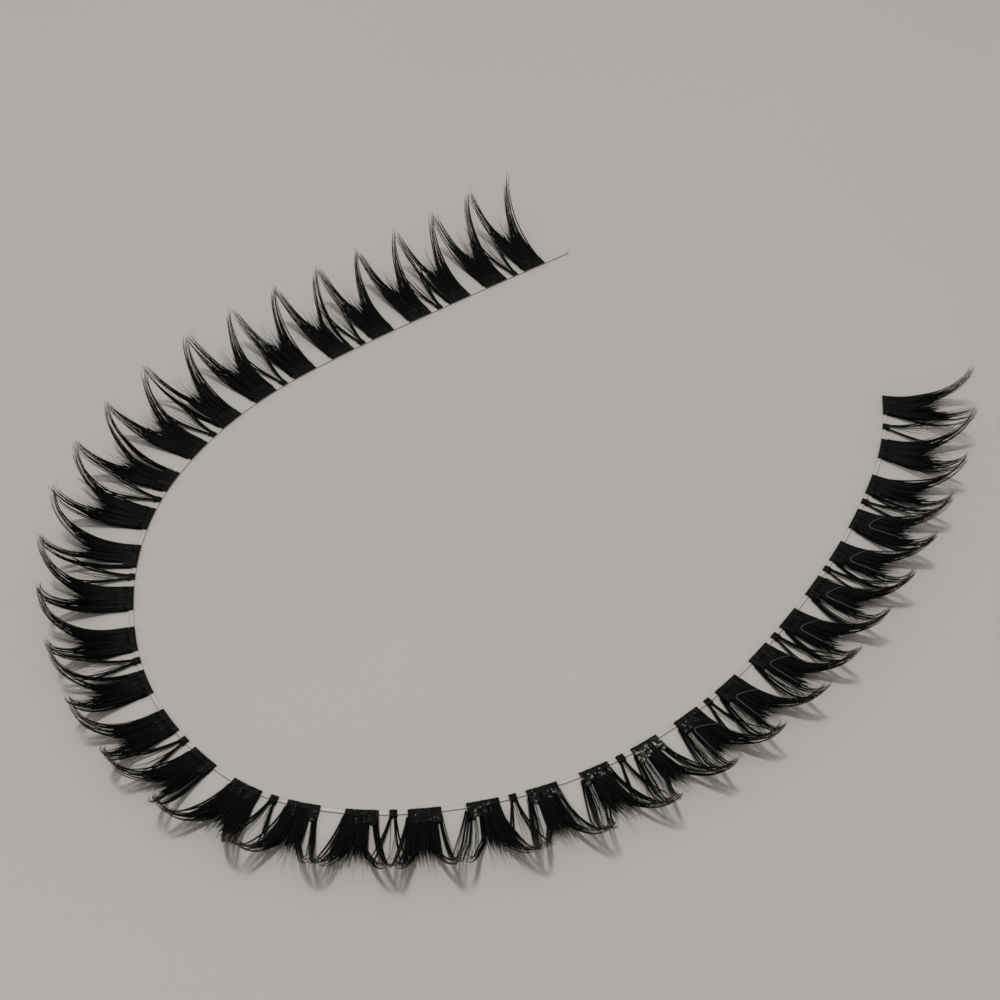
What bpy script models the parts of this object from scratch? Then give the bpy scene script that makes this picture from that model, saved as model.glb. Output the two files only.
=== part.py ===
"""False eyelash strip lying in an open U: a clear band, lash clusters and filler tufts.

Metres, +Z up. The strip lies on the plane Z = 0 with the middle of its box over the
origin. Every lash is placed by its distance along the band, how far it reaches outward
from the band's inner edge, and its height.
"""

import math

import bmesh
import bpy
from mathutils import Matrix, Vector

MM = 0.001

# Clusters along the band, and the gaps between their roots
CLUSTERS = 36
ROOT_WIDTH = 2.9 * MM
OPEN_GAP = 2.1 * MM
FILLED_GAP = 2.4 * MM
END_OPEN_GAP = 2.6 * MM
END_FILLED_GAP = 3.8 * MM

# Clear band
BAND_WIDTH = 0.4 * MM
BAND_HEIGHT = 0.15 * MM
BAND_TAIL = 3.4 * MM
BAND_STEP = 2.4 * MM

# Flat bonded root: its cover over the band and its foot on the table beyond the band
ROOT_CLEARANCE = 0.1 * MM
ROOT_COVER = 0.2 * MM
FOOT_LENGTH = 0.7 * MM

# Lashes: after the flat root, a curl that tightens towards the tip
CURL_LENGTH = 10.1 * MM
CURL_ANGLE = 88.0
CURL_POWER = 1.3
CURL_STEPS = 24
TUFT_LENGTH = 8.0 * MM
TUFT_CURL_ANGLE = 40.0
LASH_THICKNESS = 0.7 * MM
TUFT_HALF_WIDTH = 0.3 * MM
TIP_CLEARANCE = 0.3 * MM
FREE_SWEEP_FIRST = 1.4 * MM
FREE_SWEEP_LAST = -0.6 * MM

# Filler tufts
FILLER_WIDTH = 0.9 * MM
FILLER_THICKNESS = 0.35 * MM
FILLER_CLEARANCE = 0.15 * MM

# Route of the band. Columns: share of its length from the first cluster to the last,
# heading there in degrees from +X. The heading changes evenly between two rows.
BEND = (
    (0.00, -142),
    (0.11, -140),
    (0.17, -136),
    (0.22, -125),
    (0.28, -109),
    (0.34, -88),
    (0.40, -71),
    (0.45, -51),
    (0.49, -37),
    (0.53, -12),
    (0.58, 6),
    (0.64, 21),
    (0.71, 39),
    (0.79, 54),
    (0.87, 62),
    (0.94, 71),
    (1.00, 87),
)

# How the lashes lie. Columns: share of the band's length, degrees of curl added to
# CURL_ANGLE, length of the curl as a share of CURL_LENGTH.
LIE = (
    (0.00, 0, 1.16),
    (0.05, 0, 1.05),
    (0.10, 0, 1.00),
    (0.26, 0, 1.02),
    (0.33, 18, 1.08),
    (0.37, 22, 1.07),
    (0.42, 20, 1.00),
    (0.50, 12, 0.98),
    (0.60, 5, 0.98),
    (0.68, 0, 1.00),
    (1.00, 0, 1.00),
)

# Side edge of a cluster. Columns: share of the lash length, sweep sideways from the
# root's side (0) to the middle of the gap (1).
SWEEP = ((0.00, 0.00), (0.20, 0.02), (0.38, 0.15), (0.52, 0.32), (0.66, 0.52), (0.80, 0.74),
         (0.91, 0.90), (1.00, 1.00))

# Trunk. Columns: share of the lash length, thickness as a share of LASH_THICKNESS.
TRUNK = ((0.24, 0.80), (0.38, 1.00))

# Leg. Columns: share of the lash length, width and thickness as shares of ROOT_WIDTH
# and LASH_THICKNESS.
LEG = ((0.52, 0.30, 0.80), (0.66, 0.22, 0.62), (0.80, 0.15, 0.45), (0.91, 0.09, 0.30),
       (1.00, 0.02, 0.12))

# Centre tuft. Columns: share of the tuft's length, width and thickness as shares of the
# width and thickness that it starts with.
TUFT = ((0.78, 0.75, 0.55), (1.00, 0.30, 0.20))

# Filler lock. Columns: share of the lash length, width as a share of FILLER_WIDTH, side
# shift as a share of the free width up to the next leg, thickness as a share.
FILLER = ((0.36, 0.36, 0.55, 0.90), (0.50, 0.30, 1.00, 0.65), (0.60, 0.14, 1.00, 0.30))
FILLER_SPLIT = 0.17

# Thickness at the side edges of a lock as a share of the thickness in its middle
EDGE_SHARE = 0.45

ROOT_HEIGHT = BAND_HEIGHT + ROOT_CLEARANCE + ROOT_COVER
FLAT_LENGTH = BAND_WIDTH + 2 * ROOT_CLEARANCE + FOOT_LENGTH
LASH_LENGTH = FLAT_LENGTH + CURL_LENGTH
ROUTE_STEP = 0.5 * MM

LASH_BLACK = (0.012, 0.011, 0.010)
FILLER_BLACK = (0.020, 0.017, 0.015)
BAND_CLEAR = (0.75, 0.74, 0.71)


def look_up(table, share, column=1):
    """Value of a table's column at a share of the first column, evenly in between."""
    for low, high in zip(table, table[1:]):
        if share <= high[0]:
            part = (share - low[0]) / (high[0] - low[0])
            return low[column] + part * (high[column] - low[column])
    return table[-1][column]


def gap_widths():
    """Width of each gap; the first gap and every second one hold a filler tuft."""
    widths = [OPEN_GAP if gap % 2 else FILLED_GAP for gap in range(CLUSTERS - 1)]
    widths[-2:] = [END_OPEN_GAP, END_FILLED_GAP]
    return widths


def cluster_distances():
    """Distance of each cluster's centre along the band from the first one."""
    distances = [0.0]
    for width in GAPS:
        distances.append(distances[-1] + ROOT_WIDTH + width)
    return distances


GAPS = gap_widths()
DISTANCES = cluster_distances()
ROUTE_LENGTH = DISTANCES[-1]


def walk_route():
    """Samples of the band's inner edge: position and heading every ROUTE_STEP."""
    count = round(ROUTE_LENGTH / ROUTE_STEP)
    step = ROUTE_LENGTH / count
    samples = []
    spot = Vector((0.0, 0.0, 0.0))
    for index in range(count + 1):
        heading = math.radians(look_up(BEND, index / count))
        samples.append((spot.copy(), heading))
        middle = math.radians(look_up(BEND, min(1.0, (index + 0.5) / count)))
        spot += step * Vector((math.cos(middle), math.sin(middle), 0.0))
    return samples, step


ROUTE, ROUTE_SPACING = walk_route()


def route_frame(distance):
    """Position and heading at a distance along the band, straight on past its ends."""
    index = min(max(int(distance / ROUTE_SPACING), 0), len(ROUTE) - 2)
    part = distance / ROUTE_SPACING - index
    (start, heading), (end, next_heading) = ROUTE[index], ROUTE[index + 1]
    turn = min(max(part, 0.0), 1.0) * (next_heading - heading)
    return start.lerp(end, part), heading + turn


def place(distance, outward, height):
    """Point beside the band: lashes lie on the right of its direction of travel."""
    spot, heading = route_frame(distance)
    away = Vector((math.sin(heading), -math.cos(heading), 0.0))
    return spot + away * outward + Vector((0.0, 0.0, height))


def curl(distance, reach, angle, length):
    """Outward distance, height and slope of the lash's middle line after a reach."""
    share = min(max(distance / ROUTE_LENGTH, 0.0), 1.0)
    full_angle = math.radians(angle + look_up(LIE, share, 1))
    curved = max(0.0, reach - FLAT_LENGTH) / (length - FLAT_LENGTH)
    step = look_up(LIE, share, 2) * curved * (length - FLAT_LENGTH) / CURL_STEPS
    outward, height = min(reach, FLAT_LENGTH), ROOT_HEIGHT / 2
    for index in range(CURL_STEPS):
        slope = full_angle * (curved * (index + 0.5) / CURL_STEPS) ** CURL_POWER
        outward += step * math.cos(slope)
        height += step * math.sin(slope)
    return outward, height, full_angle * curved ** CURL_POWER


def row(distances, reach, thickness, angle=CURL_ANGLE, length=LASH_LENGTH):
    """Top and bottom points of a lock's section; a thick one lies on the table."""
    top, bottom = [], []
    last = len(distances) - 1
    for column, distance in enumerate(distances):
        outward, height, slope = curl(distance, reach, angle, length)
        height = max(height, thickness / 2)
        half = thickness / 2 * (EDGE_SHARE if column in (0, last) else 1.0)
        across, up = -math.sin(slope) * half, math.cos(slope) * half
        top.append(place(distance, outward + across, height + up))
        bottom.append(place(distance, outward - across, height - up))
    return top, bottom


def flat_row(distances, outward, low, high):
    """Top and bottom points of a section of the flat root."""
    top = [place(distance, outward, high) for distance in distances]
    bottom = [place(distance, outward, low) for distance in distances]
    return top, bottom


class Solid:
    """Closed mesh made of rings of points, each ring a top row and a bottom row."""

    def __init__(self):
        self.mesh = bmesh.new()

    def add(self, section):
        """Vertices of one section, as a pair of rows."""
        return tuple([self.mesh.verts.new(point) for point in points] for points in section)

    def bridge(self, section, following):
        """Faces all round between two sections."""
        ring = section[0] + section[1][::-1]
        next_ring = following[0] + following[1][::-1]
        for index in range(len(ring)):
            after = (index + 1) % len(ring)
            self.mesh.faces.new((ring[index], next_ring[index], next_ring[after], ring[after]))

    def close(self, section, start):
        """End face over a section."""
        ring = section[0] + section[1][::-1]
        self.mesh.faces.new(ring if start else ring[::-1])

    def grow(self, current, sections):
        """Stretch that follows an existing section; gives its last section."""
        for points in sections:
            following = self.add(points)
            self.bridge(current, following)
            current = following
        return current

    def begin(self, sections):
        """Stretch with a closed start; gives its last section."""
        first = self.add(sections[0])
        self.close(first, start=True)
        return self.grow(first, sections[1:])

    def lock(self, first, sections):
        """Lock that grows from an existing section to its closed tip."""
        self.close(self.grow(first, sections), start=False)

    def finish(self, name, distance, parent, colour, roughness):
        """Object with its origin on the band, facing along it."""
        bmesh.ops.recalc_face_normals(self.mesh, faces=self.mesh.faces)
        spot, heading = route_frame(distance)
        frame = Matrix.Translation(spot) @ Matrix.Rotation(heading, 4, "Z")
        bmesh.ops.transform(self.mesh, matrix=frame.inverted(), verts=self.mesh.verts)
        data = bpy.data.meshes.new(name)
        self.mesh.to_mesh(data)
        self.mesh.free()
        data.shade_smooth()
        data.set_sharp_from_angle(angle=math.radians(40.0))
        data.materials.append(make_material(name, colour, roughness))
        piece = bpy.data.objects.new(name, data)
        piece.location = spot
        piece.rotation_euler = (0.0, 0.0, heading)
        piece.parent = parent
        bpy.context.collection.objects.link(piece)
        return piece


def make_material(name, colour, roughness):
    """Principled material in one colour."""
    material = bpy.data.materials.new(name)
    material.use_nodes = True
    shader = material.node_tree.nodes["Principled BSDF"]
    shader.inputs["Base Color"].default_value = (*colour, 1.0)
    shader.inputs["Roughness"].default_value = roughness
    shader.inputs["Metallic"].default_value = 0.0
    return material


def split_part(section, first, last):
    """Columns first to last of a section, as a section of its own."""
    return section[0][first:last + 1], section[1][first:last + 1]


def side_rooms(index):
    """Room from each side of a root to where its legs end, before and after it."""
    rooms = []
    for gap, free_sweep in ((index - 1, FREE_SWEEP_FIRST), (index, FREE_SWEEP_LAST)):
        if 0 <= gap < CLUSTERS - 1:
            rooms.append((GAPS[gap] - TIP_CLEARANCE) / 2)
        else:
            rooms.append(free_sweep)
    return rooms


def root_sections(columns):
    """Sections of a root: raised over the band, down to the table, end of the flat."""
    raised = BAND_HEIGHT + ROOT_CLEARANCE
    behind = BAND_WIDTH + ROOT_CLEARANCE
    return (
        flat_row(columns, 0.0, raised, ROOT_HEIGHT),
        flat_row(columns, behind, raised, ROOT_HEIGHT),
        flat_row(columns, behind + ROOT_CLEARANCE, 0.0, ROOT_HEIGHT),
        flat_row(columns, FLAT_LENGTH, 0.0, ROOT_HEIGHT),
    )


def cluster_columns(centre, rooms, share):
    """Six distances across a trunk: side edge, leg middle and tuft side, twice."""
    sweep = look_up(SWEEP, share)
    before = centre - ROOT_WIDTH / 2 - sweep * rooms[0]
    after = centre + ROOT_WIDTH / 2 + sweep * rooms[1]
    tuft = (centre - TUFT_HALF_WIDTH, centre + TUFT_HALF_WIDTH)
    return [before, (before + tuft[0]) / 2, tuft[0], tuft[1], (tuft[1] + after) / 2, after]


def leg_sections(centre, room, side):
    """Sections of one leg, swept sideways to the middle of its gap."""
    for share, width, thickness in LEG:
        outer = centre + side * (ROOT_WIDTH / 2 + look_up(SWEEP, share) * room)
        inner = outer - side * width * ROOT_WIDTH
        columns = sorted((outer, (outer + inner) / 2, inner))
        yield row(columns, share * LASH_LENGTH, thickness * LASH_THICKNESS)


def tuft_sections(centre, start):
    """Sections of the short centre tuft, which curls less than the legs."""
    for share, width, thickness in TUFT:
        half = width * TUFT_HALF_WIDTH
        reach = start + share * (TUFT_LENGTH - start)
        yield row([centre - half, centre + half], reach, thickness * LASH_THICKNESS,
                  TUFT_CURL_ANGLE, TUFT_LENGTH)


def make_cluster(index, parent):
    """Root block, trunk, two legs and the centre tuft, fused into one solid."""
    centre = DISTANCES[index]
    rooms = side_rooms(index)
    solid = Solid()
    sections = list(root_sections(cluster_columns(centre, rooms, 0.0)))
    for share, thickness in TRUNK:
        columns = cluster_columns(centre, rooms, share)
        sections.append(row(columns, share * LASH_LENGTH, thickness * LASH_THICKNESS))
    trunk = solid.begin(sections)
    solid.lock(split_part(trunk, 0, 2), leg_sections(centre, rooms[0], -1))
    solid.lock(split_part(trunk, 3, 5), leg_sections(centre, rooms[1], 1))
    solid.lock(split_part(trunk, 2, 3), tuft_sections(centre, TRUNK[-1][0] * LASH_LENGTH))
    name = f"lash_cluster_{index + 1:02d}"
    return solid.finish(name, centre, parent, LASH_BLACK, 0.45)


def filler_lock_sections(centre, room, side):
    """Sections of a filler's lock, out to just short of the leg beside it."""
    for share, width, shift, thickness in FILLER:
        free = room + TIP_CLEARANCE / 2 - look_up(SWEEP, share) * room - FILLER_CLEARANCE
        wide = width * FILLER_WIDTH
        middle = centre + side * shift * (free - wide / 2)
        columns = [middle - wide / 2, middle + wide / 2]
        yield row(columns, share * LASH_LENGTH, thickness * FILLER_THICKNESS)


def make_filler(number, gap, parent):
    """Thin tuft in the middle of a gap: a small root that parts into two locks."""
    centre = (DISTANCES[gap] + DISTANCES[gap + 1]) / 2
    room = side_rooms(gap)[1]
    columns = [centre - FILLER_WIDTH / 2, centre, centre + FILLER_WIDTH / 2]
    solid = Solid()
    sections = list(root_sections(columns))
    sections.append(row(columns, FILLER_SPLIT * LASH_LENGTH, FILLER_THICKNESS))
    trunk = solid.begin(sections)
    solid.lock(split_part(trunk, 0, 1), filler_lock_sections(centre, room, -1))
    solid.lock(split_part(trunk, 1, 2), filler_lock_sections(centre, room, 1))
    return solid.finish(f"filler_tuft_{number:02d}", centre, parent, FILLER_BLACK, 0.5)


def make_band(parent):
    """Clear flat ribbon under the inner edge of the roots, with a bare tail."""
    start = -ROOT_WIDTH / 2 - BAND_TAIL
    end = ROUTE_LENGTH + ROOT_WIDTH / 2
    steps = round((end - start) / BAND_STEP)
    sections = []
    for index in range(steps + 1):
        distance = start + (end - start) * index / steps
        sections.append([[place(distance, 0.0, height), place(distance, BAND_WIDTH, height)]
                         for height in (BAND_HEIGHT, 0.0)])
    solid = Solid()
    solid.close(solid.begin(sections), start=False)
    return solid.finish("lash_band", 0.0, parent, BAND_CLEAR, 0.25)


def centre_strip(parent, pieces):
    """Moves the parent so that the middle of the strip's box is over the origin."""
    bpy.context.view_layer.update()
    points = [piece.matrix_world @ vertex.co for piece in pieces for vertex in piece.data.vertices]
    for axis in range(2):
        low = min(point[axis] for point in points)
        high = max(point[axis] for point in points)
        parent.location[axis] = -(low + high) / 2
    bpy.context.view_layer.update()


def main():
    """Builds the whole strip."""
    for item in list(bpy.data.objects):
        bpy.data.objects.remove(item, do_unlink=True)
    parent = bpy.data.objects.new("strip", None)
    bpy.context.collection.objects.link(parent)
    pieces = [make_band(parent)]
    pieces += [make_cluster(index, parent) for index in range(CLUSTERS)]
    filled_gaps = range(0, CLUSTERS - 1, 2)
    pieces += [make_filler(number + 1, gap, parent) for number, gap in enumerate(filled_gaps)]
    centre_strip(parent, pieces)


main()
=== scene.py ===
"""Looks of the false eyelash strip: fine fibres, wet bonded roots and a clear band.

The route of the band and the curl of the lashes repeat the CAD source. Lengths are in
millimetres until place() turns them into points in metres.
"""

import math
from collections import namedtuple

import bpy
import numpy as np
from mathutils import Matrix, Vector


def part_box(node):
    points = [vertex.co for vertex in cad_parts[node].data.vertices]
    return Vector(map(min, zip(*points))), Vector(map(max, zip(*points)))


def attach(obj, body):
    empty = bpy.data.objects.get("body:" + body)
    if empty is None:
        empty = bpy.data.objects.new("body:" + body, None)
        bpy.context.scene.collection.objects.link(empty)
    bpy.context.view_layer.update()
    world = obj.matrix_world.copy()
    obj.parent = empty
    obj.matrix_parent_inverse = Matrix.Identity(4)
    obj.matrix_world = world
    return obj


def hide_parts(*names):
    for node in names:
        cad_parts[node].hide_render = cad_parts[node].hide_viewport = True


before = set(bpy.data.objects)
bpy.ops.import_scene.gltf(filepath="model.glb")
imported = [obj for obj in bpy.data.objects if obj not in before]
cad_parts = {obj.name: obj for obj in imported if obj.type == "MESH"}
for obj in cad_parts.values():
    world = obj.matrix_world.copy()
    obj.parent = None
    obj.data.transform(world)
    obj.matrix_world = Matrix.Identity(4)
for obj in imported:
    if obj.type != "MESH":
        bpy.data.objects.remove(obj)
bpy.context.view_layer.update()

MM = 0.001
SEED = 4100

# Clusters, gaps and band, as in the CAD source
CLUSTERS = 36
ROOT_WIDTH = 2.9
OPEN_GAP = 2.1
FILLED_GAP = 2.4
END_OPEN_GAP = 2.6
END_FILLED_GAP = 3.8
BAND_WIDTH = 0.4
BAND_HEIGHT = 0.15
BAND_TAIL = 3.4
ROOT_CLEARANCE = 0.1
ROOT_HEIGHT = 0.45
FLAT_LENGTH = 1.3
CURL_LENGTH = 10.1
LASH_LENGTH = FLAT_LENGTH + CURL_LENGTH
CURL_ANGLE = 88.0
CURL_POWER = 1.3
CURL_STEPS = 24
TUFT_HALF_WIDTH = 0.3
LASH_THICKNESS = 0.7
TIP_CLEARANCE = 0.3
FREE_SWEEP_FIRST = 1.4
FREE_SWEEP_LAST = -0.6
FILLER_WIDTH = 0.9
ROUTE_STEP = 0.5

# The clear band is a thin film with a round bead along each edge.
BAND_BEAD = 0.075
BAND_FILM = 0.022
BAND_ROWS = 420

# Route of the band. Columns: share of its length, heading in degrees from +X.
BEND = (
    (0.00, -142), (0.11, -140), (0.17, -136), (0.22, -125), (0.28, -109), (0.34, -88),
    (0.40, -71), (0.45, -51), (0.49, -37), (0.53, -12), (0.58, 6), (0.64, 21),
    (0.71, 39), (0.79, 54), (0.87, 62), (0.94, 71), (1.00, 87),
)

# How the lashes lie. Columns: share of the band's length, degrees of curl added to
# CURL_ANGLE, length of the curl as a share of CURL_LENGTH.
LIE = (
    (0.00, 0, 1.16), (0.05, 0, 1.05), (0.10, 0, 1.00), (0.26, 0, 1.02), (0.33, 18, 1.08),
    (0.37, 22, 1.07), (0.42, 20, 1.00), (0.50, 12, 0.98), (0.60, 5, 0.98), (0.68, 0, 1.00),
    (1.00, 0, 1.00),
)

# Side edge of a cluster. Columns: share of the lash length, sweep sideways from the
# root's side (0) to the middle of the gap (1).
SWEEP = ((0.00, 0.00), (0.20, 0.02), (0.38, 0.15), (0.52, 0.32), (0.66, 0.52), (0.80, 0.74),
         (0.91, 0.90), (1.00, 1.00))

# Leg. Columns: share of the lash length, width as a share of ROOT_WIDTH.
LEG_WIDTH = ((0.52, 0.30), (0.66, 0.22), (0.80, 0.15), (0.91, 0.09), (1.00, 0.02))
LEG_START = 0.38

# Thickness of the lashes. Columns: share of the lash length, share of LASH_THICKNESS.
THICKNESS = ((0.00, 0.45), (0.11, 0.50), (0.24, 0.78), (0.38, 0.95), (0.52, 0.80),
             (0.66, 0.62), (0.80, 0.45), (0.91, 0.30), (1.00, 0.16))

# Filler lock. Columns: share of the lash length, side shift as a share of the way to the
# next leg.
FILLER_SHIFT = ((0.00, 0.22), (0.06, 0.20), (0.17, 0.42), (0.36, 0.88), (0.50, 1.15),
                (0.75, 1.30))

# Filler locks: range of each lock's drift sideways by its tip, their lengths as shares of
# the lash length, their share of the next leg's lean, and the root's width against
# FILLER_WIDTH
FILLER_DRIFTS = ((-0.35, -0.1), (0.25, 0.7))
FILLER_STOPS = (0.58, 0.74)
FILLER_LEAN = 0.5
FILLER_ROOTS = (0.74, 0.86)

# Outer strands of a leg leave the root sooner than its side edge. Columns: share of the
# lash length, sweep as in SWEEP.
EARLY_SWEEP = ((0.00, 0.00), (0.13, 0.00), (0.26, 0.14), (0.38, 0.29), (0.52, 0.46),
               (0.66, 0.63), (0.80, 0.80), (0.91, 0.92), (1.00, 1.00))

# Legs lean back along the band's lower curve and right arm. Columns: share of the lash
# length, further sweep of a leg before its root and of one after it.
LEAN = ((0.00, 0.00, 0.00), (0.07, 0.16, -0.11), (0.15, 0.42, -0.11), (0.22, 0.60, -0.07),
        (0.30, 0.78, 0.00), (0.38, 0.94, 0.05), (0.48, 1.09, 0.10), (0.58, 1.08, 0.14),
        (0.70, 0.98, 0.18), (0.82, 0.70, 0.20), (0.92, 0.36, 0.17), (1.00, 0.18, 0.15))

# How much a cluster's legs lean. Columns: cluster number, share of LEAN, further sweep of
# the leg after its root.
LEANING = ((17, 0.00, 0.00), (20, 0.40, 0.20), (21, 0.70, 0.15), (22, 0.70, -0.15),
           (23, 1.18, 0.20), (24, 0.65, 0.00), (25, 0.95, 0.10), (26, 1.00, 0.25),
           (27, 1.10, -0.20), (28, 1.20, 0.00), (29, 1.00, -0.28), (30, 1.20, 0.00),
           (31, 1.50, -0.20), (32, 1.20, 0.00), (35, 0.75, 0.00), (36, 0.70, 0.50))

# Tips that lie off the middle of their gap. Columns: number of the cluster before the gap,
# how far along the band.
TIP_SHIFT = {22: -0.8, 34: -0.6, 35: -1.3}

FIBRE_RADIUS = 0.036
FIBRE_POINTS = 15
FIBRE_START = 0.75
FIBRE_SIDES = 3

# Strands are bundles of fibres. PACKING is the share of a strand that its fibres fill. The
# wave bends a whole strand and the wobble each fibre.
PACKING = 0.62
GOLDEN_ANGLE = 2.399963
STRAND_WAVE = 0.04
FIBRE_WOBBLE = 0.012

# Spread of a strand's fibres. Columns: share of the lash length, share of packed width.
STRAND_SPREAD = ((0.00, 1.10), (0.15, 0.95), (0.40, 0.85), (0.70, 0.70), (0.90, 0.45),
                 (1.00, 0.25))

# Where the strands of a closed leg leave the root, from its outer edge (0) to its inner
# one (1), and how high those along its inner curve lie.
OUTER_STRANDS = (0.04, 0.20, 0.38, 0.54)
INNER_STRANDS = (0.80, 0.97)
INNER_LEVELS = (-0.85, 0.75)

# An open leg's outer strands keep to OUTER_SHARE of its opening. Its inner ones start at
# least INNER_GAP past INNER_SHIFT times the opening.
OUTER_SHARE = 0.62
INNER_SHIFT = 1.26
INNER_GAP = 0.02

# Least number of fibres in a strand, and one more than the most
OUTER_FIBRES = (3, 6)
INNER_FIBRES = (4, 7)

# A strand leans less towards the leg's inner edge, by this share.
INNER_STEADY = 0.55

# Thick glued strands that fill the trunk. They run from TONGUE_START to TONGUE_STOP, a share
# of the lash length, and further at the trunk's sides and where the legs lean. They follow
# TONGUE_LEAN of that lean, and none starts nearer the cluster's middle than TONGUE_MIDDLE.
TONGUE_RADIUS = 0.20
TONGUE_SPACING = 0.24
TONGUE_SIDES = 7
TONGUE_START = 0.6
TONGUE_MIDDLE = 0.06
TONGUE_STOP = 0.44
TONGUE_FURTHER = 0.18
TONGUE_LEANING = 0.08
TONGUE_LEAN = 0.6

# Loose fibres: how many, their range of lengths as shares of the lash length, their range
# of curl in degrees, and their radius.
Loose = namedtuple("Loose", "count lengths curls radius")
LEG_LOOSE = Loose(9, (0.66, 1.00), (80, 92), 0.026)
TRUNK_LOOSE = Loose(44, (0.42, 0.58), (76, 92), 0.036)
TUFT_LOOSE = Loose(7, (0.54, 0.70), (60, 86), 0.030)
WILD_LOOSE = Loose(4, (0.52, 0.74), (40, 80), 0.022)
FILLER_LOOSE = Loose(4, (0.45, 0.80), (50, 90), 0.024)
LOOSE_BEND = 0.05

# Block of glue over the bonded end of the fibres: how far it reaches, its grid, how far its
# top lies under the solid's, the height of its ridges and bumps, and its gap over the band
BLOCK_REACH = 1.75
FILLER_BLOCK_REACH = 0.80
BLOCK_ROWS = 18
BLOCK_COLUMN = 0.07
BLOCK_SINK = 0.05
BLOCK_RIDGE = 0.030
BLOCK_BUMP = 0.010
BAND_COVER = 0.02

# Legs whose outer strands stand apart from the trunk. Columns: cluster number, side before
# (-1) or after (1) its root, share of half the root that they leave open.
OPEN_LEGS = ((3, 1, 0.30), (6, -1, 0.35), (9, 1, 0.30), (11, -1, 0.40), (13, 1, 0.45),
             (16, -1, 0.35), (18, 1, 0.30), (20, 1, 0.45), (21, 1, 0.50), (22, 1, 0.25),
             (23, -1, 0.80), (24, -1, 0.50), (24, 1, 0.30), (25, -1, 0.60), (25, 1, 0.25),
             (26, -1, 0.75), (26, 1, 0.50), (27, -1, 0.65), (28, -1, 0.45), (29, -1, 0.45),
             (30, -1, 0.35), (31, -1, 0.50), (32, -1, 0.40), (34, -1, 0.40))

# How shiny the glue is, and so how much painted sheen and painted glint specks show on
#  its root. Columns: cluster number, wetness.
WETNESS = ((1, 0.0), (17, 0.3), (19, 0.55), (22, 0.60), (23, 0.70), (24, 0.75), (25, 0.90),
           (26, 1.0), (27, 0.65), (28, 0.3), (29, 0.1), (36, 0.0))

# From and to which value of its wet pattern a root turns shiny, then takes on a painted grey
#  sheen and then painted near-white glint specks
SHINE_RANGE = (0.56, 0.68)
PAINTED_SHEEN_RANGE = (0.61, 0.68)
PAINTED_GLINT_RANGE = (0.705, 0.735)

# Glue edge: a thin ridge across some trunks, painted grey as a painted highlight where it
#  catches the light. Columns: place sideways as a share of half the root, reach, height over
#  the middle line.
GLUE_CLUSTERS = (27, 28, 29, 30, 31, 32, 33)
GLUE_PATH = ((0.92, 2.75, 0.20), (0.45, 2.25, 0.27), (0.00, 1.90, 0.28), (-0.38, 1.75, 0.28),
             (-0.52, 2.05, 0.28), (-0.55, 2.60, 0.28), (-0.62, 3.60, 0.28), (-0.78, 4.80, 0.26),
             (-0.98, 6.00, 0.22))
GLUE_RADIUS = 0.06
GLUE_SIDES = 6

TABLE_HALF = 8.0

# Camera, solved with the route from the corners of the roots in the photo. Angles are in
# degrees, the spot is in metres and the lens and sensor are in millimetres.
CAMERA_YAW = 2.06
CAMERA_TILT = 45.97
CAMERA_ROLL = 1.47
CAMERA_SPOT = (0.00164, -0.1250, 0.12903)
CAMERA_LENS = 64.8
CAMERA_SENSOR = 36.0

# Light: spot and size in metres, power in watts
KEY_SPOT = (-0.09, -0.05, 0.80)
KEY_SIZE = 0.09
KEY_POWER = 2.15
KEY_COLOUR = (1.0, 0.99, 0.985)
SURROUND_COLOUR = (1.0, 0.945, 0.885, 1.0)
SURROUND_STRENGTH = 0.315


def look_up(table, share, column=1):
    """Values of a table's column at shares of the first column, evenly in between."""
    rows = np.array(table, float)
    return np.interp(share, rows[:, 0], rows[:, column])


def gap_widths():
    """Width of each gap; the first gap and every second one hold a filler tuft."""
    widths = [OPEN_GAP if gap % 2 else FILLED_GAP for gap in range(CLUSTERS - 1)]
    widths[-2:] = [END_OPEN_GAP, END_FILLED_GAP]
    return np.array(widths)


GAPS = gap_widths()
DISTANCES = np.concatenate([[0.0], np.cumsum(GAPS + ROOT_WIDTH)])
ROUTE_LENGTH = DISTANCES[-1]


def walk_route():
    """Positions and headings along the band's inner edge, and their spacing."""
    count = round(ROUTE_LENGTH / ROUTE_STEP)
    step = ROUTE_LENGTH / count
    headings = np.radians(look_up(BEND, np.arange(count + 1) / count))
    middles = np.radians(look_up(BEND, (np.arange(count) + 0.5) / count))
    moves = step * np.stack([np.cos(middles), np.sin(middles)], 1)
    spots = np.concatenate([np.zeros((1, 2)), np.cumsum(moves, 0)])
    return spots, headings, step


SPOTS, HEADINGS, ROUTE_SPACING = walk_route()


def route_frame(distance):
    """Positions and headings at distances along the band, straight on past its ends."""
    index = np.clip((distance / ROUTE_SPACING).astype(int), 0, len(SPOTS) - 2)
    part = distance / ROUTE_SPACING - index
    spot = SPOTS[index] + part[..., None] * (SPOTS[index + 1] - SPOTS[index])
    turn = np.clip(part, 0, 1) * (HEADINGS[index + 1] - HEADINGS[index])
    return spot, HEADINGS[index] + turn


def place_unshifted(distance, outward, height):
    """Points in metres beside the band, and the direction along the band there."""
    distance, outward, height = np.broadcast_arrays(*np.atleast_1d(distance, outward, height))
    spot, heading = route_frame(distance)
    x = spot[..., 0] + np.sin(heading) * outward
    y = spot[..., 1] - np.cos(heading) * outward
    along = np.stack([np.cos(heading), np.sin(heading), np.zeros_like(heading)], -1)
    return np.stack([x, y, height], -1) * MM, along


def band_rows(count):
    """Even distances from the end of the band's tail to the far side of its last root."""
    return np.linspace(-ROOT_WIDTH / 2 - BAND_TAIL, ROUTE_LENGTH + ROOT_WIDTH / 2, count)


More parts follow.
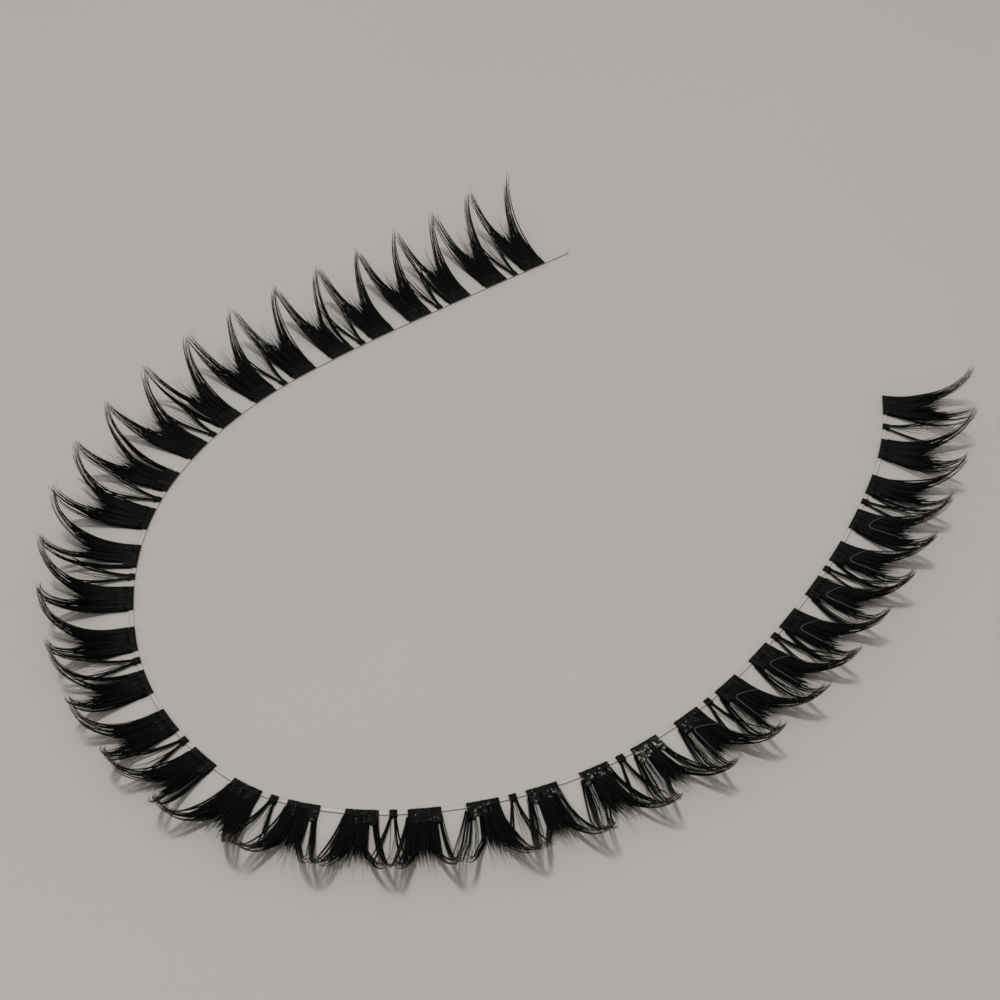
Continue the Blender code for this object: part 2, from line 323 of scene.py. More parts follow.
def frame_shift():
    """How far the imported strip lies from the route's own origin, from the band's box."""
    distances = band_rows(400)
    points = np.concatenate([place_unshifted(distances, edge, 0.0)[0] for edge in (0, BAND_WIDTH)])
    low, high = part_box("lash_band")
    middle = (np.array(low) + np.array(high)) / 2
    shift = middle - (points.min(0) + points.max(0)) / 2
    shift[2] = 0.0
    return shift


SHIFT = frame_shift()


def place(distance, outward, height):
    """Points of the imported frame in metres, and the direction along the band there."""
    points, along = place_unshifted(distance, outward, height)
    return points + SHIFT, along


def curl(distance, reach, angle, stretch=1.0):
    """Outward distance, height and slope of a lash's middle line after a reach."""
    share = np.clip(distance / ROUTE_LENGTH, 0, 1)
    full_angle = np.radians(angle + look_up(LIE, share, 1))
    curved = np.maximum(0.0, reach - FLAT_LENGTH) / CURL_LENGTH
    step = look_up(LIE, share, 2) * curved * CURL_LENGTH * stretch / CURL_STEPS
    outward = np.minimum(reach, FLAT_LENGTH)
    height = np.full_like(outward, ROOT_HEIGHT / 2)
    for index in range(CURL_STEPS):
        slope = full_angle * (curved * (index + 0.5) / CURL_STEPS) ** CURL_POWER
        outward = outward + step * np.cos(slope)
        height = height + step * np.sin(slope)
    return outward, height, full_angle * curved ** CURL_POWER


def side_rooms(index):
    """Room from each side of a root to where its legs end, before and after it."""
    rooms = []
    for gap, free_sweep in ((index - 1, FREE_SWEEP_FIRST), (index, FREE_SWEEP_LAST)):
        inside = 0 <= gap < CLUSTERS - 1
        rooms.append((GAPS[gap] - TIP_CLEARANCE) / 2 if inside else free_sweep)
    return rooms


def leg_width(share, room):
    """Width of a leg at a share; up to LEG_START it reaches in to the centre tuft."""
    trunk = ROOT_WIDTH / 2 + look_up(SWEEP, np.minimum(share, LEG_START)) * room - TUFT_HALF_WIDTH
    rows = np.array(LEG_WIDTH)
    at_start = ROOT_WIDTH / 2 + look_up(SWEEP, LEG_START) * room - TUFT_HALF_WIDTH
    shares = np.concatenate([[LEG_START], rows[:, 0]])
    widths = np.concatenate([[at_start], rows[:, 1] * ROOT_WIDTH])
    return np.where(share <= LEG_START, trunk, np.interp(share, shares, widths))


def store(data, name, values):
    """Keeps a value, or a triple of values, for each of a mesh's points."""
    values = np.asarray(values, np.float32)
    kind, field = ("FLOAT", "value") if values.ndim == 1 else ("FLOAT_VECTOR", "vector")
    attribute = data.attributes.new(name, kind, "POINT")
    attribute.data.foreach_set(field, values.ravel())


class Fibres:
    """Paths of many fibres, as distance along the band, outward, height and radius."""

    def __init__(self, rng):
        self.rng = rng
        self.parts = []

    def add(self, distance, reach, lift, radius, angle, stretch=1.0, sides=FIBRE_SIDES,
            plain=False):
        """Fibres with a row each. lift is measured square to the curled middle line.

        Plain ones neither glint nor turn brown at the tip.
        """
        outward, height, slope = curl(distance, reach, angle, stretch)
        outward = outward - np.sin(slope) * lift
        height = np.maximum(height + np.cos(slope) * lift, radius)
        points, along = place(distance, outward, height)
        tone = np.broadcast_to(self.rng.random((len(reach), 1)) * (not plain), reach.shape)
        radius = np.broadcast_to(radius, reach.shape)
        self.parts.append((points, along, radius * MM, tone, sides, plain))

    def mesh(self, name):
        """One joined mesh of closed tapered tubes."""
        vertices, faces, tones, ends, count = [], [], [], [], 0
        for points, along, radius, tone, sides, plain in self.parts:
            rows, length = radius.shape
            tangent = np.gradient(points, axis=1)
            tangent /= np.linalg.norm(tangent, axis=-1, keepdims=True)
            first = along - (along * tangent).sum(-1, keepdims=True) * tangent
            first /= np.linalg.norm(first, axis=-1, keepdims=True)
            second = np.cross(tangent, first)
            phase = self.rng.random((rows, 1, 1)) * math.tau
            angle = phase + np.arange(sides) * math.tau / sides
            ring = (points[:, :, None] + radius[..., None, None]
                    * (np.cos(angle)[..., None] * first[:, :, None]
                       + np.sin(angle)[..., None] * second[:, :, None]))
            index = count + np.arange(rows * length * sides).reshape(rows, length, sides)
            after = np.roll(index, -1, axis=2)
            quads = np.stack([index[:, :-1], after[:, :-1], after[:, 1:], index[:, 1:]], -1)
            faces += quads.reshape(-1, 4).tolist()
            faces += index[:, 0, ::-1].tolist()
            faces += index[:, -1].tolist()
            vertices.append(ring.reshape(-1, 3))
            tones.append(np.repeat(tone.reshape(-1), sides))
            share = np.broadcast_to(np.linspace(0, not plain, length), (rows, length))
            ends.append(np.repeat(share.reshape(-1), sides))
            count += rows * length * sides
        data = bpy.data.meshes.new(name)
        data.from_pydata(np.concatenate(vertices).tolist(), [], faces)
        store(data, "tone", np.concatenate(tones))
        store(data, "tip", np.concatenate(ends))
        data.shade_smooth()
        return data


def make_piece(name, data, material, nodes=()):
    """Object that rides on the strip's body and stands for the named CAD nodes."""
    data.materials.append(material)
    piece = bpy.data.objects.new(name, data)
    bpy.context.collection.objects.link(piece)
    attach(piece, "root")
    if nodes:
        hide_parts(*nodes)


def disc(count):
    """Even spots on a disc of radius 1, for the fibres of one strand."""
    index = np.arange(count) + 0.5
    spread = np.sqrt(index / count)
    return spread * np.cos(index * GOLDEN_ANGLE), spread * np.sin(index * GOLDEN_ANGLE)


def taper(along, thick, start=0.35, tip=0.14):
    """Radius of a fibre: even at first, then thinner all the way to its fine tip."""
    return thick * (1 - (1 - tip) * np.clip((along - start) / (1 - start), 0, 1) ** 1.1)


def leaning(number, side, share):
    """How far a leg of a numbered cluster leans, in its direction of sweep."""
    lean = look_up(LEANING, number) * look_up(LEAN, share, 1 if side < 0 else 2)
    further = look_up(LEANING, number, 2) * np.clip(share * 4 - 0.4, 0, 1) if side > 0 else 0.0
    tip = side * TIP_SHIFT.get(number if side > 0 else number - 1, 0.0) * share ** 2.5
    return lean + further + tip


def add_strand(fibres, centre, side, room, inward, level, count, reach_share, droop, past, number):
    """Strand of one leg. inward runs from the leg's outer edge (0) to its inner one (1).

    droop is how many degrees less it curls, and past how far its tip passes the leg's end.
    """
    rng = fibres.rng
    along = np.linspace(0, 1, FIBRE_POINTS)[None, :]
    stop = LASH_LENGTH * reach_share * (1 - 0.09 * rng.random((count, 1)))
    reach = FIBRE_START + (stop - FIBRE_START) * along
    share = reach / LASH_LENGTH
    across, up = disc(count)
    packed = FIBRE_RADIUS * math.sqrt(count / PACKING)
    spread = packed * look_up(STRAND_SPREAD, share)
    # Strands near the outer edge leave the root early, and the rest follow the solid's side.
    early = np.clip(1 - inward * 1.6, 0, 1)
    sweep = look_up(SWEEP, share) * (1 - early) + look_up(EARLY_SWEEP, share) * early
    middle = ROOT_WIDTH / 2 + sweep * room - inward * leg_width(share, room)
    limit = ROOT_WIDTH / 2 + sweep * room - packed * 0.8
    inside = np.minimum(middle, limit)
    wave = STRAND_WAVE * np.sin(share * 4 + rng.random() * math.tau)
    wobble = FIBRE_WOBBLE * np.sin(share * 9 + rng.random((count, 1)) * math.tau)
    sideways = inside + across[:, None] * spread + (wobble + wave) * share + past * share ** 4
    sideways = sideways + leaning(number, side, share) * (1 - INNER_STEADY * inward)
    # The strand stays inside the solid's thickness.
    room_up = look_up(THICKNESS, share) * LASH_THICKNESS / 2
    lift = level * np.maximum(room_up - spread, 0.02) + up[:, None] * spread * 0.8
    angle = CURL_ANGLE - droop + rng.normal(0, 0.6, (count, 1))
    stretch = 1 + rng.normal(0, 0.004, (count, 1))
    radius = taper(along, FIBRE_RADIUS * (0.85 + 0.3 * rng.random((count, 1))))
    fibres.add(centre + side * sideways, reach, lift, radius, angle, stretch)


def add_loose(fibres, start, end, kind):
    """Loose fibres from sideways starts to sideways ends, each with its own length and curl."""
    rng = fibres.rng
    count = len(start)
    stop = LASH_LENGTH * rng.uniform(*kind.lengths, count)
    angle = rng.uniform(*kind.curls, count)
    along = np.linspace(0, 1, FIBRE_POINTS)[None, :]
    reach = FIBRE_START + (stop[:, None] - FIBRE_START) * along
    ease = along ** 1.7
    bow = rng.normal(0, LOOSE_BEND, (count, 1)) * np.sin(along * math.pi)
    sideways = start[:, None] + (end - start)[:, None] * ease + bow
    lift = rng.uniform(-0.9, 0.9, (count, 1)) * look_up(THICKNESS, reach / LASH_LENGTH) * 0.3
    radius = taper(along, kind.radius * (0.8 + 0.4 * rng.random((count, 1))), 0.2, 0.12)
    fibres.add(sideways, reach, lift, radius, angle[:, None])


def add_leg(fibres, centre, side, room, opening, number):
    """Strands of one leg, from its straight outer ones to those along its inner curve."""
    rng = fibres.rng
    outer = OUTER_STRANDS
    if opening:
        outer = np.linspace(OUTER_STRANDS[0], OUTER_SHARE * opening, len(OUTER_STRANDS))
    for inward in outer:
        add_strand(fibres, centre, side, room, inward + rng.normal(0, 0.012),
                   rng.uniform(-0.8, 0.8), int(rng.integers(*OUTER_FIBRES)), rng.uniform(0.92, 1.0),
                   rng.uniform(-2, 8), rng.uniform(0.10, 0.60), number)
    first, last = INNER_STRANDS
    shift = max(0.0, opening * INNER_SHIFT + INNER_GAP - first)
    for inward in (first + shift, last + 0.6 * shift):
        for level in INNER_LEVELS:
            add_strand(fibres, centre, side, room, inward + rng.normal(0, 0.02), level,
                       int(rng.integers(*INNER_FIBRES)), rng.uniform(0.88, 1.0),
                       rng.uniform(-2, 4) + 4 * (level < 0), rng.uniform(0.0, 0.40), number)
    count = LEG_LOOSE.count
    inward = rng.uniform(0.0, 0.8 * opening if opening else 0.9, count)
    start = ROOT_WIDTH / 2 - inward * (ROOT_WIDTH / 2 - TUFT_HALF_WIDTH)
    end = ROOT_WIDTH / 2 + room * rng.uniform(0.5, 1.2, count)
    end = end + 0.6 * leaning(number, side, 0.6)
    add_loose(fibres, centre + side * start, centre + side * end, LEG_LOOSE)


def add_tongues(fibres, centre, rooms, low, high, number):
    """Thick glued strands that fill the trunk from its low side edge to its high one."""
    rng = fibres.rng
    half = ROOT_WIDTH / 2
    parts = []
    for side, edge in ((-1, -low), (1, high)):
        wide = edge - TONGUE_RADIUS + TONGUE_LEAN * max(0.0, leaning(number, side, LEG_START))
        count = max(2, round(wide / TONGUE_SPACING) + 1)
        parts.append(side * np.linspace(TONGUE_MIDDLE, edge - TONGUE_RADIUS, count))
    starts = np.concatenate(parts)
    starts = starts + rng.normal(0, 0.03, len(starts))
    along = np.linspace(0, 1, FIBRE_POINTS)[None, :]
    offset = np.abs(starts)[:, None] / half
    room = np.where(starts < 0, rooms[0], rooms[1])[:, None]
    further = TONGUE_FURTHER + TONGUE_LEANING * min(1.0, look_up(LEANING, number))
    ragged = rng.uniform(-0.03, 0.04, offset.shape)
    stop = LASH_LENGTH * (TONGUE_STOP + further * offset + ragged)
    reach = TONGUE_START + (stop - TONGUE_START) * along
    share = reach / LASH_LENGTH
    sideways = starts[:, None] + np.sign(starts)[:, None] * offset * look_up(SWEEP, share) * room
    lean = np.where(starts[:, None] < 0, leaning(number, -1, share), leaning(number, 1, share))
    inner = np.abs(starts) / np.where(starts < 0, -low, high)
    sideways = sideways + np.sign(starts)[:, None] * lean * TONGUE_LEAN * inner[:, None]
    radius = TONGUE_RADIUS * (1 - 0.93 * np.clip((along - 0.45) / 0.55, 0, 1) ** 1.5)
    lift = rng.uniform(-0.10, 0.10, offset.shape) * along
    angle = CURL_ANGLE - rng.uniform(0, 8, offset.shape)
    fibres.add(centre + sideways, reach, lift, radius, angle, sides=TONGUE_SIDES, plain=True)


def add_trunk(fibres, centre, rooms, openings, number):
    """Glued strands that fill the trunk, with a fringe of short fibres over them."""
    rng = fibres.rng
    half = ROOT_WIDTH / 2
    low, high = (-half * (1 - openings[0]), half * (1 - openings[1]))
    add_tongues(fibres, centre, rooms, low, high, number)
    start = rng.uniform(low * 0.95, high * 0.95, TRUNK_LOOSE.count)
    scale = 1 + 0.10 * rng.normal(0, 1, len(start)) + 0.20 * np.abs(start) / half
    add_loose(fibres, centre + start, centre + start * scale, TRUNK_LOOSE)
    start = rng.uniform(-0.35, 0.35, TUFT_LOOSE.count)
    end = start * 1.3 + rng.normal(0, 0.12, len(start))
    add_loose(fibres, centre + start, centre + end, TUFT_LOOSE)
    start = rng.uniform(-0.6, 0.6, WILD_LOOSE.count)
    end = start + rng.normal(0, 0.40, len(start))
    add_loose(fibres, centre + start, centre + end, WILD_LOOSE)


def add_glue_edge(fibres, centre):
    """Edge of a glue film across the trunk and along one leg."""
    rows = np.array(GLUE_PATH)
    along = np.linspace(0, 1, 3 * FIBRE_POINTS)
    corner = np.linspace(0, 1, len(rows))
    sideways, reach, lift = (np.interp(along, corner, rows[:, column]) for column in range(3))
    sideways = sideways + fibres.rng.normal(0, 0.01, len(along))
    radius = GLUE_RADIUS * np.sin(np.pi * (0.04 + 0.92 * along)) ** 0.5
    fibres.add(centre + sideways[None, :] * ROOT_WIDTH / 2, reach[None, :], lift[None, :],
               radius[None, :], CURL_ANGLE, sides=GLUE_SIDES)


def closed_block(name, upper, lower):
    """Mesh between two grids of points that have their rim in common."""
    rows, columns = upper.shape[:2]
    index = np.arange(rows * columns).reshape(rows, columns)
    under = index + rows * columns
    quads = [np.stack([index[:-1, :-1], index[1:, :-1], index[1:, 1:], index[:-1, 1:]], -1),
             np.stack([under[:-1, :-1], under[:-1, 1:], under[1:, 1:], under[1:, :-1]], -1)]
    rim = np.concatenate([index[0, :-1], index[:-1, -1], index[-1, :0:-1], index[:0:-1, 0]])
    low = rim + rows * columns
    quads.append(np.stack([rim, np.roll(rim, -1), np.roll(low, -1), low], -1))
    faces = np.concatenate([q.reshape(-1, 4) for q in quads])
    points = np.concatenate([upper.reshape(-1, 3), lower.reshape(-1, 3)])
    data = bpy.data.meshes.new(name)
    data.from_pydata(points.tolist(), [], faces.tolist())
    data.shade_smooth()
    return data


def root_block(name, centre, width, rng, wet, length):
    """Bonded end of the fibres: a bumpy block of glue that thins out over them."""
    columns = max(9, int(width / BLOCK_COLUMN))
    rows = BLOCK_ROWS
    across = np.linspace(-1, 1, columns)[None, :]
    depth = np.linspace(0, 1, rows)[:, None]
    # The outer edge is ragged, the other edges are rounded and the last quarter thins out.
    ragged = np.interp(across[0], np.linspace(-1, 1, 9), rng.uniform(0.72, 1.0, 9))[None, :]
    outward = depth * length * ragged
    edge = (1 - np.abs(across) ** 8) ** 0.5
    front = np.clip(outward / 0.06, 0, 1) ** 0.5
    fall = 1 - 0.30 * np.clip(outward / length * 4 - 3, 0, 1) ** 1.5
    ridges = np.interp(across[0], np.linspace(-1, 1, columns // 2 + 1),
                       rng.normal(0, BLOCK_RIDGE, columns // 2 + 1))[None, :]
    bumps = rng.normal(0, BLOCK_BUMP, (rows, columns))
    top = (ROOT_HEIGHT - BLOCK_SINK + ridges + bumps) * fall
    # The block lies over the band and then goes down to the table.
    floor = np.where(outward < BAND_WIDTH + ROOT_CLEARANCE, BAND_HEIGHT + BAND_COVER, 0.0)
    height = floor + (top - floor) * np.minimum(0.35 + 0.65 * edge, 0.55 + 0.45 * front)
    side = across * width / 2 * (1 - 0.02 * rng.random((rows, 1)))
    side = side + np.where(np.abs(across) == 1, 0.0, rng.normal(0, 0.006, (rows, columns)))
    side, outward, floor = np.broadcast_arrays(side, outward, floor)
    upper = place(centre + side, outward, height)[0]
    lower = place(centre + side, outward, floor)[0]
    data = closed_block(name, upper, lower)
    store(data, "wet", np.full(len(data.vertices), wet))
    local = np.stack([side, outward, np.full(side.shape, centre)], -1).reshape(-1, 3)
    store(data, "local", np.concatenate([local, local]))
    return data


def make_cluster(index):
    """Fibres and bonded root of one cluster."""
    rng = np.random.default_rng(SEED + index)
    centre = DISTANCES[index]
    number = index + 1
    fibres = Fibres(rng)
    rooms = side_rooms(index)
    openings = [0.0, 0.0]
    for open_number, side, opening in OPEN_LEGS:
        if open_number == number:
            openings[(side + 1) // 2] = opening
    for side, room, opening in zip((-1, 1), rooms, openings):
        add_leg(fibres, centre, side, room, opening, number)
    add_trunk(fibres, centre, rooms, openings, number)
    name = f"lash_fibres_{number:02d}"
    make_piece(name, fibres.mesh(name), FIBRE, [f"lash_cluster_{number:02d}"])
    name = f"lash_root_{number:02d}"
    wet = look_up(WETNESS, number)
    data = root_block(name, centre, ROOT_WIDTH, rng, wet, BLOCK_REACH)
    make_piece(name, data, WET_ROOT)
    if number in GLUE_CLUSTERS:
        film = Fibres(rng)
        add_glue_edge(film, centre)
        name = f"glue_edge_{number:02d}"
        make_piece(name, film.mesh(name), GLUE)


def add_filler_lock(fibres, centre, side, free, count, drift, stop, number):
    """Thin lock of a filler tuft, from its root across to the leg beside it.

    number is that of the cluster after the gap, whose leg the lock leans with.
    """
    rng = fibres.rng
    along = np.linspace(0, 1, FIBRE_POINTS)[None, :]
    ends = LASH_LENGTH * stop * (1 - 0.15 * rng.random((count, 1)))
    reach = FIBRE_START * 0.6 + (ends - FIBRE_START * 0.6) * along
    share = reach / LASH_LENGTH
    across, up = disc(count)
    packed = FIBRE_RADIUS * math.sqrt(count / PACKING)
    spread = packed * look_up(STRAND_SPREAD, share) * 0.9
    sideways = look_up(FILLER_SHIFT, share) * free + drift * share
    sideways = side * sideways + across[:, None] * spread
    sideways = sideways - FILLER_LEAN * leaning(number, -1, share)
    lift = up[:, None] * spread * 0.8
    angle = CURL_ANGLE - rng.uniform(0, 14) + rng.normal(0, 2.0, (count, 1))
    radius = taper(along, FIBRE_RADIUS * (0.9 + 0.3 * rng.random((count, 1))), 0.5)
    fibres.add(centre + sideways, reach, lift, radius, angle)


def make_filler(number, gap):
    """Thin tuft in the middle of a gap: a small root and a few crossing strands."""
    rng = np.random.default_rng(SEED + 500 + number)
    centre = (DISTANCES[gap] + DISTANCES[gap + 1]) / 2
    room = side_rooms(gap)[1]
    free = room + TIP_CLEARANCE / 2 - 0.32 * room
    fibres = Fibres(rng)
    for side in (-1, 1):
        for drift in [rng.uniform(*drifts) for drifts in FILLER_DRIFTS]:
            add_filler_lock(fibres, centre, side, free, int(rng.integers(*INNER_FIBRES)), drift,
                            rng.uniform(*FILLER_STOPS), 2 * number)
    start = rng.uniform(-0.3, 0.3, FILLER_LOOSE.count)
    end = rng.uniform(-1.1, 1.1, FILLER_LOOSE.count)
    add_loose(fibres, centre + start, centre + end, FILLER_LOOSE)
    node = f"filler_tuft_{number:02d}"
    name = f"filler_fibres_{number:02d}"
    make_piece(name, fibres.mesh(name), FILLER_FIBRE, [node])
    name = f"filler_root_{number:02d}"
    width = FILLER_WIDTH * rng.uniform(*FILLER_ROOTS)
    data = root_block(name, centre, width, rng, rng.uniform(0.0, 0.3), FILLER_BLOCK_REACH)
    make_piece(name, data, WET_ROOT)


def make_band():
    """Clear ribbon with a fine round thread along each edge."""
    middle = BAND_HEIGHT / 2
    turns = np.radians(np.linspace(-140, 140, 9))
    right = [(BAND_WIDTH - BAND_BEAD + BAND_BEAD * math.cos(turn),
              middle + BAND_BEAD * math.sin(turn)) for turn in turns]
    profile = right + [(BAND_WIDTH / 2, middle + BAND_FILM)]
    profile += [(BAND_WIDTH - x, 2 * middle - z) for x, z in right]
    profile += [(BAND_WIDTH / 2, middle - BAND_FILM)]
    profile = np.array(profile)
    distances = band_rows(BAND_ROWS)
    points = place(distances[:, None], profile[None, :, 0], profile[None, :, 1])[0]
    rows, sides = points.shape[:2]
    index = np.arange(rows * sides).reshape(rows, sides)
    after = np.roll(index, -1, axis=1)
    quads = np.stack([index[:-1], index[1:], after[1:], after[:-1]], -1).reshape(-1, 4)
    faces = quads.tolist() + [index[0].tolist(), index[-1, ::-1].tolist()]
    data = bpy.data.meshes.new("clear_band")
    data.from_pydata(points.reshape(-1, 3).tolist(), [], faces)
    edge = np.abs(profile[:, 0] - BAND_WIDTH / 2) / (BAND_WIDTH / 2)
    store(data, "edge", np.tile(edge, rows))
    data.shade_smooth()
    make_piece("clear_band", data, CLEAR, ["lash_band"])


class Look:
    """Principled material with helpers for its nodes."""

    def __init__(self, name, colour, roughness, **sockets):
        self.material = bpy.data.materials.new(name)
        self.material.use_nodes = True
        self.tree = self.material.node_tree
        self.shader = self.tree.nodes["Principled BSDF"]
        self.shader.inputs["Base Color"].default_value = (*colour, 1.0)
        self.shader.inputs["Roughness"].default_value = roughness
        for socket, value in sockets.items():
            self.shader.inputs[socket.replace("_", " ")].default_value = value

    def node(self, kind, **settings):
        node = self.tree.nodes.new(kind)
        for key, value in settings.items():
            setattr(node, key, value)
        return node

    def link(self, source, target):
        self.tree.links.new(source, target)

    def noise_over(self, source, stretch, detail):
        """Noise over coordinates; stretch counts features in one unit along each axis."""
        mapping = self.node("ShaderNodeMapping")
        mapping.inputs["Scale"].default_value = stretch
        texture = self.node("ShaderNodeTexNoise")
        texture.inputs["Scale"].default_value = 1.0
        texture.inputs["Detail"].default_value = detail
        self.link(source, mapping.inputs["Vector"])
        self.link(mapping.outputs["Vector"], texture.inputs["Vector"])
        return texture.outputs["Fac"]

    def noise(self, scale, detail=2.0):
        """Noise over the object's own coordinates; scale counts features in a metre."""
        source = self.node("ShaderNodeTexCoord").outputs["Object"]
        return self.noise_over(source, (scale, scale, scale), detail)

    def local_noise(self, stretch, detail=2.0):
        """Noise over a root's own coordinates; stretch counts features in a millimetre."""
        return self.noise_over(self.local_place(), stretch, detail)

    def local_place(self):
        """A root's own coordinates: sideways, outward and its distance along the band."""
        return self.node("ShaderNodeAttribute", attribute_name="local").outputs["Vector"]

    def combine(self, operation, first, second):
        """Result of a sum or product of two values, each a number or another node's output."""
        node = self.node("ShaderNodeMath", operation=operation)
        for target, value in zip(node.inputs, (first, second)):
            if isinstance(value, (int, float)):
                target.default_value = value
            else:
                self.link(value, target)
        return node.outputs[0]

    def attribute(self, name):
        """Value stored on the mesh, such as a fibre's tone or how near its tip is."""
        return self.node("ShaderNodeAttribute", attribute_name=name).outputs["Fac"]

    def spread(self, source, low, high, start=0.0, stop=1.0):
        """Maps a value from start..stop to low..high."""
        node = self.node("ShaderNodeMapRange")
        self.link(source, node.inputs["Value"])
        for socket, value in zip(("From Min", "From Max", "To Min", "To Max"),
                                 (start, stop, low, high)):
            node.inputs[socket].default_value = value
        return node.outputs["Result"]

    def blend(self, factor, first, second):
        """Colour between two colours, each a triple or another node's output."""
        node = self.node("ShaderNodeMix", data_type="RGBA")
        self.link(factor, node.inputs["Factor"])
        for socket, value in zip(("A", "B"), (first, second)):
            target = [x for x in node.inputs if x.name == socket and x.type == "RGBA"][0]
            if isinstance(value, tuple):
                target.default_value = (*value, 1.0)
            else:
                self.link(value, target)
        return [x for x in node.outputs if x.type == "RGBA"][0]

    def bump(self, source, strength, depth):
        """Relief from a value; depth is in metres."""
        node = self.node("ShaderNodeBump")
        node.inputs["Strength"].default_value = strength
        node.inputs["Distance"].default_value = depth
        self.link(source, node.inputs["Height"])
        self.link(node.outputs["Normal"], self.shader.inputs["Normal"])


def fibre_look(name, dark, light, tip):
    """Black synthetic fibre: browner towards its tip, and here and there one that glints."""
    look = Look(name, dark, 0.4, Specular_IOR_Level=0.09)
    tone = look.attribute("tone")
    fade = look.spread(look.attribute("tip"), 0.0, 1.0, 0.45, 1.0)
    look.link(look.blend(fade, look.blend(tone, dark, light), tip), look.shader.inputs["Base Color"])
    look.link(look.spread(tone, 0.46, 0.14, 0.88, 0.95), look.shader.inputs["Roughness"])
    return look.material


def wet_look():
    """Bonded root: black fibres under an uneven film that shines where it is wet.

    Its wettest spots are painted: a painted grey sheen, then painted near-white glint specks.
    """
    look = Look("wet_bonded_root", (0.004, 0.004, 0.003), 0.5, Specular_IOR_Level=0.14)
    lines = look.local_noise((15.0, 1.2, 1.0))
    blobs = look.local_noise((2.6, 3.4, 1.0), 1.0)
    grain = look.local_noise((19.0, 8.0, 1.0), 3.0)
    base = look.blend(look.spread(lines, 0.0, 1.0, 0.54, 0.68), (0.0010, 0.0010, 0.0008),
                      (0.026, 0.025, 0.019))
    parts = look.node("ShaderNodeSeparateXYZ")
    look.link(look.local_place(), parts.inputs["Vector"])
    outer = look.spread(parts.outputs["Y"], 0.3, 1.0, 0.15, 0.70)
    wet = look.spread(look.attribute("wet"), -0.10, 0.17)
    amount = look.combine("ADD", look.combine("MULTIPLY", outer, wet),
                          look.combine("MULTIPLY", blobs, 0.55))
    total = look.combine("ADD", amount, look.combine("MULTIPLY", grain, 0.45))
    # Painted sheen and painted highlight: the wettest spots are painted grey, and the very  wettest
    # near white, as glints of the light on wet glue.
    grey = look.blend(look.spread(total, 0.0, 1.0, *PAINTED_SHEEN_RANGE), base, (0.055, 0.056, 0.050))
    painted_glint = look.blend(look.spread(total, 0.0, 1.0, *PAINTED_GLINT_RANGE), grey, (0.55, 0.56, 0.53))
    look.link(painted_glint, look.shader.inputs["Base Color"])
    look.link(look.spread(total, 0.55, 0.16, *SHINE_RANGE), look.shader.inputs["Roughness"])
    look.bump(grain, 1.0, 0.00004)
    return look.material


def glue_look():
    """Ridge at the edge of a glue film, painted grey as a painted highlight."""
    look = Look("glue_edge", (0.06, 0.06, 0.058), 0.3, Specular_IOR_Level=0.4)
    # Noise from near black to a painted grey highlight along the ridge
    shade = look.blend(look.noise(1500.0), (0.025, 0.025, 0.024), (0.150, 0.147, 0.140))
    look.link(shade, look.shader.inputs["Base Color"])
    return look.material


def clear_look():
    """Clear film with a greyer rim along its edges."""
    look = Look("clear_film", (0.92, 0.91, 0.88), 0.3)
    edge = look.spread(look.attribute("edge"), 0.0, 1.0, 0.80, 0.98)
    shade = look.blend(edge, (0.90, 0.89, 0.85), (0.24, 0.23, 0.20))
    look.link(shade, look.shader.inputs["Base Color"])
    look.link(look.spread(edge, 0.68, 0.85), look.shader.inputs["Alpha"])
    look.bump(look.noise(1500.0), 0.15, 0.00004)
    return look.material


def table_look():
    """Plain pale table with a faint uneven tone."""
    look = Look("pale_table", (0.60, 0.585, 0.56), 0.62, Specular_IOR_Level=0.3)
    tone = look.blend(look.noise(14.0, 3.0), (0.655, 0.645, 0.622), (0.690, 0.675, 0.648))
    look.link(tone, look.shader.inputs["Base Color"])
    look.bump(look.noise(900.0, 3.0), 0.06, 0.0002)
    return look.material


FIBRE = fibre_look("lash_fibre", (0.0015, 0.0015, 0.0015), (0.006, 0.005, 0.004),
                   (0.022, 0.016, 0.011))
FILLER_FIBRE = fibre_look("filler_fibre", (0.002, 0.002, 0.002), (0.010, 0.008, 0.006),
                          (0.026, 0.019, 0.013))
WET_ROOT = wet_look()
GLUE = glue_look()
CLEAR = clear_look()


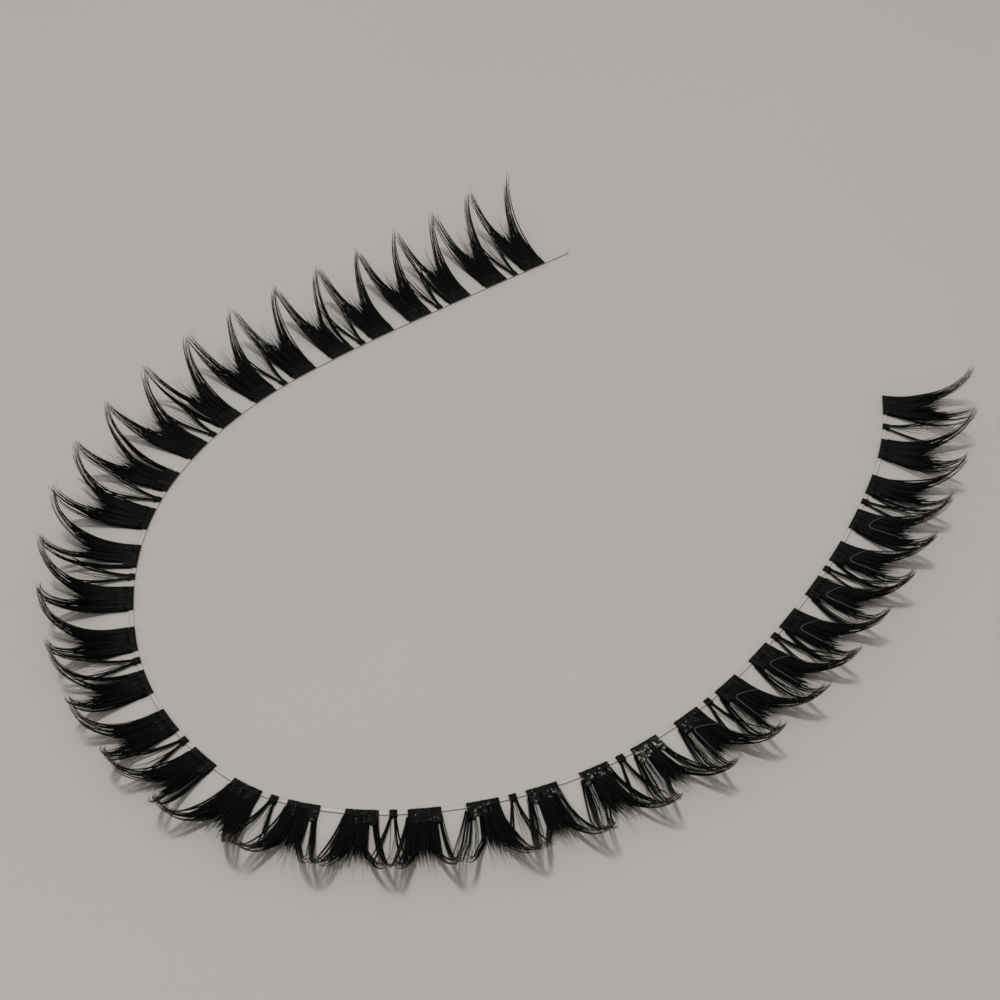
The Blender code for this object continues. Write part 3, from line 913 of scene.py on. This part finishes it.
def make_floor():
    """Pale table under the strip."""
    half = TABLE_HALF
    data = bpy.data.meshes.new("table")
    data.from_pydata([(-half, -half, 0), (half, -half, 0), (half, half, 0), (-half, half, 0)], [],
                     [(0, 1, 2, 3)])
    data.materials.append(table_look())
    floor = bpy.data.objects.new("table", data)
    bpy.context.collection.objects.link(floor)


def make_camera():
    """Camera at the photograph's viewing angle."""
    angles = (CAMERA_YAW, CAMERA_TILT, CAMERA_ROLL)
    yaw, tilt, roll = (math.radians(angle) for angle in angles)
    forward = Vector((-math.sin(yaw) * math.cos(tilt), math.cos(yaw) * math.cos(tilt),
                      -math.sin(tilt)))
    level = Vector((math.cos(yaw), math.sin(yaw), 0))
    upright = level.cross(forward)
    right = math.cos(roll) * level + math.sin(roll) * upright
    up = math.cos(roll) * upright - math.sin(roll) * level
    data = bpy.data.cameras.new("camera")
    data.lens = CAMERA_LENS
    data.sensor_width = CAMERA_SENSOR
    data.clip_start = 0.005
    data.clip_end = 10.0
    camera = bpy.data.objects.new("camera", data)
    turn = Matrix((right, up, -forward)).transposed().to_4x4()
    camera.matrix_world = Matrix.Translation(CAMERA_SPOT) @ turn
    bpy.context.collection.objects.link(camera)
    bpy.context.scene.camera = camera


def make_key_light():
    """Square soft light that points at the origin."""
    data = bpy.data.lights.new("key", "AREA")
    data.size = KEY_SIZE
    data.energy = KEY_POWER
    data.color = KEY_COLOUR
    light = bpy.data.objects.new("key", data)
    light.location = KEY_SPOT
    light.rotation_euler = Vector(KEY_SPOT).to_track_quat("Z", "Y").to_euler()
    bpy.context.collection.objects.link(light)


def make_surround():
    """Even warm light from all sides."""
    world = bpy.data.worlds.new("surround")
    world.use_nodes = True
    background = world.node_tree.nodes["Background"]
    background.inputs["Color"].default_value = SURROUND_COLOUR
    background.inputs["Strength"].default_value = SURROUND_STRENGTH
    bpy.context.scene.world = world
    bpy.context.scene.view_settings.view_transform = "Standard"


make_camera()
make_floor()
make_key_light()
make_surround()
make_band()
for cluster in range(CLUSTERS):
    make_cluster(cluster)
for order, filled_gap in enumerate(range(0, CLUSTERS - 1, 2)):
    make_filler(order + 1, filled_gap)
